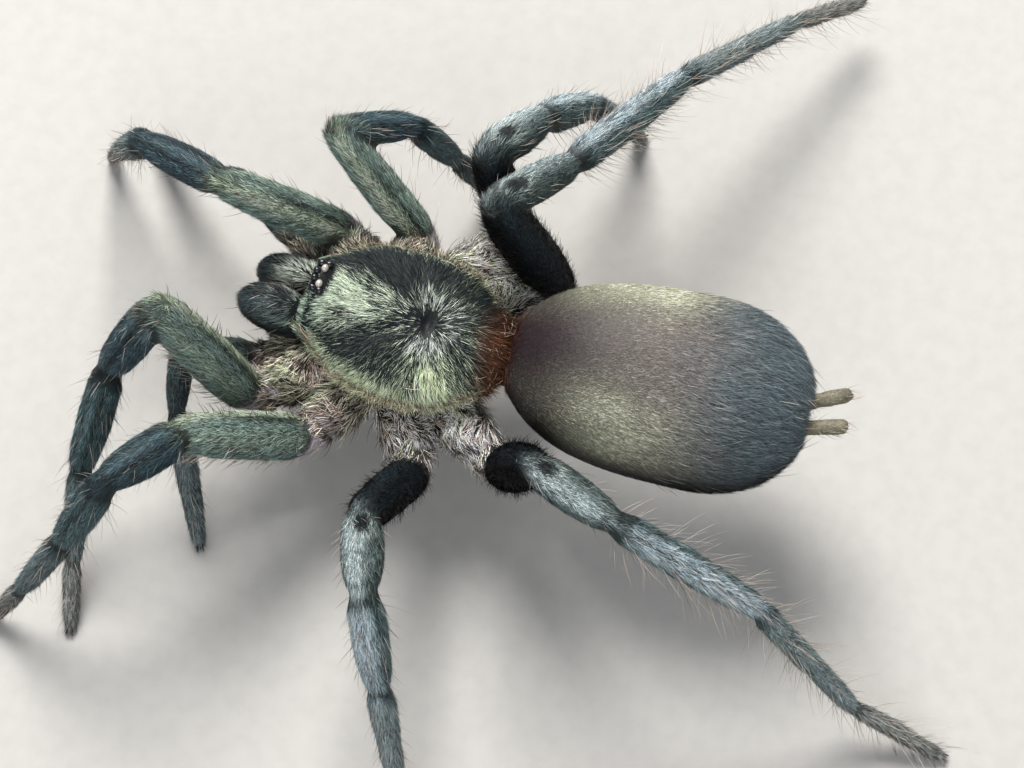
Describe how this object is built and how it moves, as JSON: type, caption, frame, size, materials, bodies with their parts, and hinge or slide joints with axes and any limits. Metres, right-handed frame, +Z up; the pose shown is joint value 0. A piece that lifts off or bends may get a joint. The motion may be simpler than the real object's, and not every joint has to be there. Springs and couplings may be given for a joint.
{
  "type": "trapdoor spider",
  "caption": "Still life-size trapdoor spider in a low walking stance: domed furry shield, stout jaws, arched hairy legs and a velvety egg-shaped abdomen.",
  "frame": {"origin": "middle of the bounding box's foot, on the floor under the spider", "axes": "+Z up, -Y towards the head, +X towards the spider's own left side"},
  "size_m": [0.0446, 0.0452, 0.0136],
  "materials": {
    "carapace_down": "close-lying green-gold down over near-black skin",
    "abdomen_velvet": "charcoal velvet",
    "leg_hair": "blue-grey hair along the leg",
    "black_velvet": "black velvet",
    "hip_fuzz": "pale grey-pink fuzz",
    "jaw_hair": "dark blue-grey hair",
    "eye_lens": "glossy black",
    "fang_horn": "polished dark horn",
    "waist_rust": "rusty down",
    "spinneret_skin": "pale olive skin"
  },
  "bodies": {
    "root": {"carapace": "carapace_down", "eye_mound": "eye_lens", "cephalothorax_underside": "hip_fuzz", "chelicera_left": "jaw_hair", "chelicera_right": "jaw_hair", "fang_left": "fang_horn", "fang_right": "fang_horn", "pedicel": "waist_rust", "abdomen": "abdomen_velvet", "spinneret_left": "spinneret_skin", "spinneret_right": "spinneret_skin", "leg_1_left_coxa": "hip_fuzz", "leg_1_left_femur": "leg_hair", "leg_1_left_patella": "leg_hair", "leg_1_left_tibia": "leg_hair", "leg_1_left_foot": "leg_hair", "leg_1_right_coxa": "hip_fuzz", "leg_1_right_femur": "leg_hair", "leg_1_right_patella": "leg_hair", "leg_1_right_tibia": "leg_hair", "leg_1_right_foot": "leg_hair", "leg_2_left_coxa": "hip_fuzz", "leg_2_left_femur": "leg_hair", "leg_2_left_patella": "leg_hair", "leg_2_left_tibia": "leg_hair", "leg_2_left_foot": "leg_hair", "leg_2_right_coxa": "hip_fuzz", "leg_2_right_femur": "leg_hair", "leg_2_right_patella": "leg_hair", "leg_2_right_tibia": "leg_hair", "leg_2_right_foot": "leg_hair", "leg_3_left_coxa": "hip_fuzz", "leg_3_left_femur": "black_velvet", "leg_3_left_patella": "leg_hair", "leg_3_left_tibia": "leg_hair", "leg_3_left_foot": "leg_hair", "leg_3_right_coxa": "hip_fuzz", "leg_3_right_femur": "black_velvet", "leg_3_right_patella": "leg_hair", "leg_3_right_tibia": "leg_hair", "leg_3_right_foot": "leg_hair", "leg_4_left_coxa": "hip_fuzz", "leg_4_left_femur": "black_velvet", "leg_4_left_patella": "leg_hair", "leg_4_left_tibia": "leg_hair", "leg_4_left_foot": "leg_hair", "leg_4_right_coxa": "hip_fuzz", "leg_4_right_femur": "black_velvet", "leg_4_right_patella": "leg_hair", "leg_4_right_tibia": "leg_hair", "leg_4_right_foot": "leg_hair", "palp_left_coxa": "hip_fuzz", "palp_left_femur": "leg_hair", "palp_left_patella": "leg_hair", "palp_left_foot": "leg_hair", "palp_right_coxa": "hip_fuzz", "palp_right_femur": "leg_hair", "palp_right_patella": "leg_hair", "palp_right_foot": "leg_hair"}
  },
  "joints": []
}
